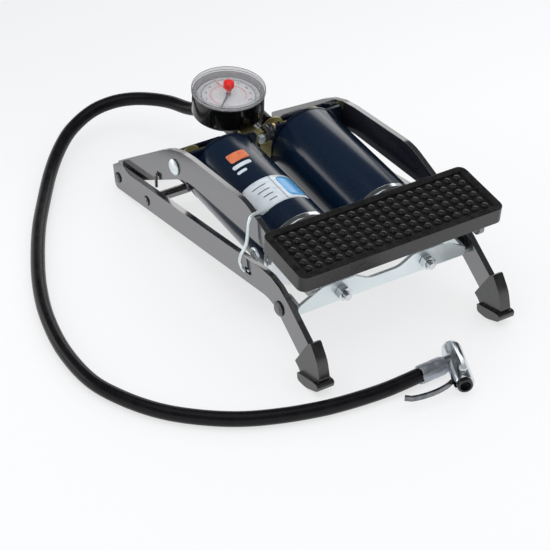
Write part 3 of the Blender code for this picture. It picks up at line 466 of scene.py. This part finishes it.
# --- Hose ------------------------------------------------------------------------------------
HOSE_ROUTE = [
    (0.0184, 0.0815, 0.0649), (0.0184, 0.0970, 0.0648), (0.0173, 0.1160, 0.0619),
    (0.0137, 0.1349, 0.0530), (0.0083, 0.1532, 0.0420), (0.0015, 0.1734, 0.0337),
    (-0.0058, 0.1934, 0.0315), (-0.0162, 0.2083, 0.0297), (-0.0290, 0.2189, 0.0281),
    (-0.0443, 0.2251, 0.0258), (-0.0624, 0.2258, 0.0221), (-0.0841, 0.2179, 0.0166),
    (-0.1026, 0.2033, 0.0116), (-0.1214, 0.1818, 0.0077), (-0.1411, 0.1535, 0.0059),
    (-0.1611, 0.1219, HOSE_Z), (-0.1798, 0.0863, HOSE_Z),
    (-0.1945, 0.0532, HOSE_Z), (-0.2060, 0.0180, HOSE_Z), (-0.2130, -0.0219, HOSE_Z),
    (-0.2122, -0.0606, HOSE_Z), (-0.2025, -0.0891, HOSE_Z), (-0.1873, -0.1140, HOSE_Z),
    (-0.1680, -0.1335, HOSE_Z), (-0.1445, -0.1500, HOSE_Z), (-0.1188, -0.1613, HOSE_Z),
    (-0.0914, -0.1693, HOSE_Z), (-0.0691, -0.1730, HOSE_Z), (-0.0453, -0.1752, 0.0058),
    (-0.0282, -0.1757, 0.0066), (-0.0145, -0.1758, 0.0075),
]


def route_length(points):
    return sum((b - a).length for a, b in zip(points, points[1:]))


def make_hose():
    route = smooth_route(HOSE_ROUTE, 0.0040)
    hose = tube("hose_rubber_tube", route, HOSE_R, "hose_rubber", 20)
    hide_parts("hose")
    return hose, route


# --- Pedal -----------------------------------------------------------------------------------
def box_middle(node):
    low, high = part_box(node)
    return (Vector(low) + Vector(high)) / 2


def make_pedal():
    refined("pedal_pad", "rubber", 0.0011, 3, 50)
    refined("pedal_plate", "black_paint", 0.0004)
    for number in range(1, 5):
        refined(f"pedal_screw_{number}", "zinc", 0.0002)
    place = Matrix.Translation(box_middle("pedal_pad")) @ Matrix.Rotation(PEDAL_TILT, 4, "X")
    shape = bmesh.new()
    floor_z = PEDAL_SIZE.z / 2 - 0.0012
    profile = [(0.0027, -0.0003), (0.0027, 0.0003), (0.0025, 0.0009), (0.0020, 0.0014), (0.0012, 0.0017),
               (0.0005, 0.0018)]
    sides = 14
    for column in range(STUD_COLUMNS):
        for row in range(STUD_ROWS):
            x = (column - (STUD_COLUMNS - 1) / 2) * STUD_PITCH[0]
            y = (row - (STUD_ROWS - 1) / 2) * STUD_PITCH[1]
            rings = []
            for radius, height in profile:
                angles = [2 * math.pi * k / sides for k in range(sides)]
                rings.append([
                    shape.verts.new(place @ Vector(
                        (x + radius * math.cos(a), y + radius * math.sin(a), floor_z + height)))
                    for a in angles])
            for lower, upper in zip(rings, rings[1:]):
                for k in range(sides):
                    shape.faces.new((lower[k], lower[(k + 1) % sides], upper[(k + 1) % sides], upper[k]))
            shape.faces.new(rings[-1])
            shape.faces.new(list(reversed(rings[0])))
    studs = mesh_object("pedal_studs", shape, "rubber", 70)
    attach(studs, "pedal_frame")


# --- Barrels ---------------------------------------------------------------------------------
def make_barrels():
    for side, sign in (("left", -1), ("right", 1)):
        x = sign * BARREL_X
        length = BARREL_REAR - BARREL_FRONT
        wall = rounded_profile([(BORE_R, 0.0010), (BORE_R, 0.0), (BARREL_R, 0.0), (BARREL_R, length),
                                (BORE_R, length), (BORE_R, 0.0010)], 0.0004)
        barrel = lathe("barrel_tube_" + side, wall, on_barrel(x, BARREL_REAR), "navy_paint", 128)
        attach(barrel, "barrels")
        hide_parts("barrel_" + side)
        refined("barrel_head_" + side, "zinc", 0.0003)
        refined("front_cap_" + side, "chrome", 0.0008, 3)
        refined("check_valve_" + side, "brass", 0.0003)


def wrapped(name, x, along, around, lift, material, corner=0.0015):
    """A thin label on the left barrel, between two places along it and two angles around it."""
    columns, rows = 28, 8
    reach = BARREL_R + lift
    shape = bmesh.new()
    grid = []
    for i in range(columns + 1):
        angle = math.radians(around[0] + (around[1] - around[0]) * i / columns)
        edge = min(i, columns - i) / columns * abs(math.radians(around[1] - around[0])) * BARREL_R
        inset = corner - math.sqrt(max(0, corner ** 2 - max(0, corner - edge) ** 2))
        line = []
        for j in range(rows + 1):
            t = j / rows
            y = (along[0] - inset) * (1 - t) + (along[1] + inset) * t
            spot = Vector((x + reach * math.sin(angle), y, BARREL_Z + reach * math.cos(angle)))
            line.append(shape.verts.new(BARREL_FRAME @ spot))
        grid.append(line)
    for left, right in zip(grid, grid[1:]):
        for j in range(rows):
            shape.faces.new((left[j], left[j + 1], right[j + 1], right[j]))
    obj = mesh_object(name, shape, material)
    thick = obj.modifiers.new("film", "SOLIDIFY")
    thick.thickness = 0.00006
    thick.offset = 1
    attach(obj, "barrels")
    return obj


def make_labels():
    """Plain coloured film on the left barrel: a two-part sticker and two stripes."""
    x = -BARREL_X
    wrapped("sticker_white", x, (-0.0675, -0.0975), (-44, 42), 0.00004, "label_white", corner=0.0022)
    wrapped("sticker_blue", x, (-0.0700, -0.0945), (10, 40), 0.00012, "label_blue", corner=0.0040)
    wrapped("sticker_rule", x, (-0.0680, -0.0970), (2.6, 3.6), 0.00012, "label_grey", corner=0.0002)
    for number in range(4):
        start = -0.0735 - 0.0056 * number
        wrapped(f"sticker_line_{number}", x, (start, start - 0.0010), (-30 + 3 * number, -8), 0.00012,
                "label_grey", corner=0.0002)
    wrapped("stripe_orange", x, (-0.0300, -0.0400), (-24, 6), 0.00004, "label_orange")
    wrapped("stripe_pale", x, (-0.0430, -0.0470), (-28, 2), 0.00004, "label_white")
    wrapped("stripe_pale_short", x, (-0.0500, -0.0530), (-28, -12), 0.00004, "label_white")


def make_barrel_fittings():
    refined("barrel_bracket", "bracket_paint", 0.0004)
    refined("valve_plate", "yellow_zinc", 0.0003)
    block = refined("valve_block", "yellow_zinc", 0.0005)
    block.data.materials.append(MATERIALS["dark_steel"])
    for face in block.data.polygons:
        if (BARREL_FRAME.inverted() @ face.center).y > 0.0078:
            face.material_index = 1
    refined("transfer_pipe", "brass", 0.0)
    refined("bracket_bolt", "zinc", 0.0004, 3)
    refined("gauge_stem", "zinc", 0.0003)


def make_pistons():
    refined("piston_crossbar", "zinc", 0.0005, 3)
    for side in ("left", "right"):
        refined("piston_rod_" + side, "chrome", 0.0003)
        refined("piston_" + side, "plastic", 0.0003)
        refined("piston_seal_" + side, "rubber", 0.0003)
        refined("rod_nut_" + side, "chrome", 0.0005, 3)


# --- Gauge -----------------------------------------------------------------------------------
def flat_ring(name, inner, outer, first, last, height, material):
    """A thin arc of a ring on the dial, from the first to the last angle in degrees."""
    shape = bmesh.new()
    pieces = max(1, round(abs(last - first) / 3))
    rows = []
    for k in range(pieces + 1):
        angle = math.radians(first + (last - first) * k / pieces)
        way = Vector((math.sin(angle), math.cos(angle), 0))
        rows.append([shape.verts.new(on_gauge() @ (way * r + Vector((0, 0, height))))
                     for r in (inner, outer)])
    for before, after in zip(rows, rows[1:]):
        shape.faces.new((before[0], before[1], after[1], after[0]))
    obj = mesh_object(name, shape, material)
    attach(obj, "barrels")
    return obj


def dial_number(text, angle, radius, size):
    """A generic number on the dial, upright for someone at the pedal."""
    data = bpy.data.curves.new("dial_number_" + text, "FONT")
    data.body = text
    data.size = size
    data.align_x = "CENTER"
    data.align_y = "CENTER"
    data.extrude = 0.00003
    obj = add(bpy.data.objects.new("dial_number_" + text, data))
    spot = Vector((math.sin(angle) * radius, math.cos(angle) * radius, DIAL_TOP + 0.00012))
    obj.matrix_world = on_gauge() @ Matrix.Translation(spot)
    data.materials.append(MATERIALS["dial_black"])
    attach(obj, "barrels")


def make_dial_marks():
    """The scale runs clockwise through 270 degrees, from the lower left to the lower right."""
    first, last, steps = -132.0, 138.0, 50
    level = DIAL_TOP + 0.00010
    flat_ring("dial_scale_outer", 0.0203, 0.0208, first, last, level, "dial_black")
    flat_ring("dial_scale_inner", 0.0136, 0.0142, first, last, level, "dial_red")
    for k in range(steps + 1):
        angle = first + (last - first) * k / steps
        long_mark = k % 5 == 0
        flat_ring(f"dial_tick_{k}", 0.0208, 0.0230 if long_mark else 0.0220, angle - 0.8, angle + 0.8,
                  level, "dial_black")
        if k % 2 == 0:
            inner = 0.0118 if k % 10 == 0 else 0.0126
            flat_ring(f"dial_red_tick_{k}", inner, 0.0136, angle - 1.1, angle + 1.1, level, "dial_red")
    for k in range(11):
        angle = math.radians(first + (last - first) * k / 10)
        dial_number(str(k), angle, 0.0174, 0.0042)


def make_gauge():
    case = rounded_profile([(0.0046, 0.0), (0.0150, 0.0), (0.0252, 0.0), (0.0278, 0.0026),
                            (0.0278, 0.0204), (0.0262, 0.0204), (0.0262, 0.0024), (0.0046, 0.0018)],
                           0.0014, 5)
    body = lathe("gauge_body", case, on_gauge(), "gauge_plastic", 128, closed=True)
    dial = rounded_profile([(0.0014, 0.0155), (DIAL_R, 0.0155), (DIAL_R, DIAL_TOP), (0.0014, DIAL_TOP)],
                           0.0002)
    plate = lathe("gauge_dial_plate", dial, on_gauge(), "dial", 96, closed=True)
    window = [(0.0018, LENS_TOP - 0.0003), (0.0246, LENS_TOP - 0.0003), (0.0246, LENS_TOP - 0.0014),
              (0.0018, LENS_TOP - 0.0014)]
    lens = lathe("gauge_window", window, on_gauge(), "clear", 96, closed=True)
    # The rim's grey base paints its bright reflected arcs.
    rim = rounded_profile([(0.0247, LENS_TOP - 0.0004), (0.0253, LENS_TOP), (0.0275, LENS_TOP),
                           (GAUGE_R, LENS_TOP - 0.0010), (GAUGE_R, 0.0208), (0.0249, 0.0208),
                           (0.0249, 0.0158), (0.0246, 0.0158), (0.0247, LENS_TOP - 0.0004)], 0.0005, 4)
    ring = lathe("gauge_rim", rim[:-1], on_gauge(), "clear_rim_painted_sheen", 128, closed=True)
    # The first line is painted shade: a dark bead standing in for the dark outline on the clear rim's top
    # edge. The second marks the seam between case and rim.
    edges = (("gauge_rim_painted_shade_line", 0.0282, 0.0236), ("gauge_case_line", 0.0283, 0.0210))
    for name, radius, height in edges:
        bead = [(radius + 0.00022 * math.cos(a), height + 0.00022 * math.sin(a))
                for a in (math.radians(60 * k) for k in range(6))]
        line = lathe(name, bead, on_gauge(), "dark_steel", 128, closed=True)
        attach(line, "barrels")
    pieces = ((body, "gauge_case"), (plate, "gauge_dial"), (lens, "gauge_lens"), (ring, "gauge_lens"))
    for obj, node in pieces:
        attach(obj, "barrels")
    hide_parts("gauge_case")
    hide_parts("gauge_dial")
    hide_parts("gauge_lens")
    refined("gauge_movement", "brass", 0.0004)
    refined("bourdon_tube", "brass", 0.0)
    refined("gauge_needle", "dark_steel", 0.0)
    knob = refined("gauge_marker_knob", "red", 0.0003)
    knob.data.materials.append(MATERIALS["marker_blade"])
    lift = on_gauge().inverted()
    for face in knob.data.polygons:
        if (lift @ face.center).z < 0.0215:
            face.material_index = 1
    make_dial_marks()


# --- Arms, bars, feet, rods and springs ------------------------------------------------------
def make_frames():
    for side in ("left", "right"):
        refined("base_bar_" + side, "black_paint", 0.0006, 3)
        refined("pedal_arm_" + side, "black_paint", 0.0007, 3)
        refined("foot_" + side, "plastic", 0.0006, 3)
        refined("leg_rivet_" + side, "dark_steel", 0.0003)
        refined("crossbar_spacer_" + side, "plastic", 0.0003)
        spring = refined("return_spring_" + side, "dark_steel", 0.0, body="blended")
        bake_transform(spring)
    refined("pivot_spring", "dark_steel", 0.0, body="barrels")
    refined("rear_axle", "dark_steel", 0.0004)
    refined("base_cross_rod", "black_paint", 0.0003)
    refined("barrel_pivot_shaft", "zinc", 0.0003)
    refined("hose_union", "brass", 0.0004)
    refined("lock_hook", "zinc", 0.0)
    refined("hook_eye", "zinc", 0.0)


# --- Chuck -----------------------------------------------------------------------------------
def chuck_place(along, side=0.0, up=0.0):
    """A point by the chuck's head; along runs from its middle to its mouth."""
    return CHUCK_HEAD + Matrix.Rotation(CHUCK_TURN, 3, "Z") @ Vector((side, -along, up))


def chuck_sleeve():
    """The crimped ferrule on the hose's end: six flats, and a wavy rim."""
    start = Vector(HOSE_ROUTE[-1])
    way = (chuck_place(-0.0062, -0.0030) - start).normalized()
    turn = way.to_track_quat("Z", "Y").to_matrix().to_4x4()
    length, sides = 0.0212, 72
    shape = bmesh.new()
    rings = []
    stations = ((0.00, 0.0058), (0.00, 0.0066), (0.04, 0.0069), (0.45, 0.0069), (0.50, 0.0067),
                (0.55, 0.0069), (0.92, 0.0068), (1.00, 0.0062))
    for t, radius in stations:
        ring = []
        for k in range(sides):
            angle = 2 * math.pi * k / sides
            flat = 1 - 0.035 * (0.5 + 0.5 * math.cos(6 * angle)) * (1 if 0.03 < t < 0.95 else 0.4)
            wave = (1 - t) * 0.0007 * math.sin(4 * angle)
            reach = radius * flat
            spot = Vector((reach * math.cos(angle), reach * math.sin(angle), t * length + wave))
            ring.append(shape.verts.new(spot))
        rings.append(ring)
    for lower, upper in zip(rings, rings[1:]):
        for k in range(sides):
            shape.faces.new((lower[k], lower[(k + 1) % sides], upper[(k + 1) % sides], upper[k]))
    shape.faces.new(rings[-1])
    shape.faces.new(list(reversed(rings[0])))
    bmesh.ops.transform(shape, matrix=Matrix.Translation(start + way * 0.0004) @ turn, verts=shape.verts)
    sleeve = mesh_object("chuck_ferrule", shape, "cast_grey", 50)
    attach(sleeve, "base_frame")
    return sleeve


def rivet_ring():
    """The spun head of the lever's rivet, as a raised ring."""
    place = Matrix.Translation(Vector((*chuck_place(LEVER_PIVOT).xy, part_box("chuck_pin")[1][2] - 0.0002)))
    ring = lathe("chuck_rivet_ring", rounded_profile(
        [(0.0017, 0.0), (0.0017, 0.0006), (0.0029, 0.0006), (0.0029, -0.0006)], 0.0003), place, "zinc", 40)
    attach(ring, "base_frame")
    return ring


def make_chuck():
    body = refined("chuck_body", "chrome", 0.0005, 3)
    seal = refined("chuck_seal", "rubber", 0.0004)
    pin = refined("chuck_pin", "zinc", 0.0003)
    lever = refined("chuck_lever", "lever_steel", 0.0004)
    return [body, seal, pin, lever, chuck_sleeve(), rivet_ring()]


MATERIALS = make_materials()
camera()
HOSE, HOSE_POINTS = make_hose()
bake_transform(HOSE)
studio()
make_pedal()
make_barrels()
make_labels()
make_barrel_fittings()
make_pistons()
make_gauge()
make_frames()
CHUCK = make_chuck()
print("hose length", round(route_length(HOSE_POINTS), 4))
